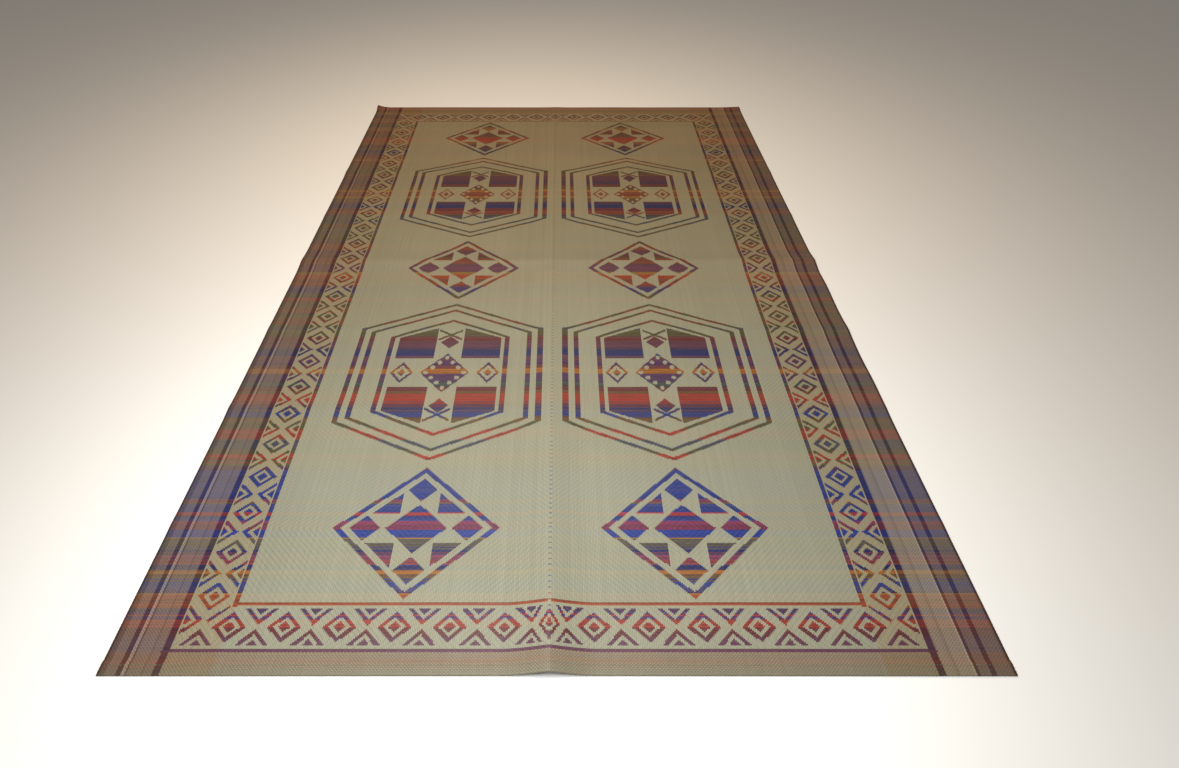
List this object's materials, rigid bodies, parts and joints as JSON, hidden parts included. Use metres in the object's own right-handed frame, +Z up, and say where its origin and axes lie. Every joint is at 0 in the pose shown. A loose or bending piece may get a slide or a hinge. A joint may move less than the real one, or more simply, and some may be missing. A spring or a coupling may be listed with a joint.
{
  "type": "plastic floor mat",
  "caption": "Large flat mat of woven plastic straw with a geometric border and medallions, hemmed at both ends, lying on the floor with its fold creases.",
  "frame": {"origin": "centre of the mat's footprint, on the floor", "axes": "+X across the mat, +Y along it towards the far end, +Z up"},
  "size_m": [1.83, 2.74, 0.0264],
  "materials": {
    "woven_plastic": "woven straw, soft sheen"
  },
  "bodies": {
    "root": {"mat": "woven_plastic"}
  },
  "joints": []
}
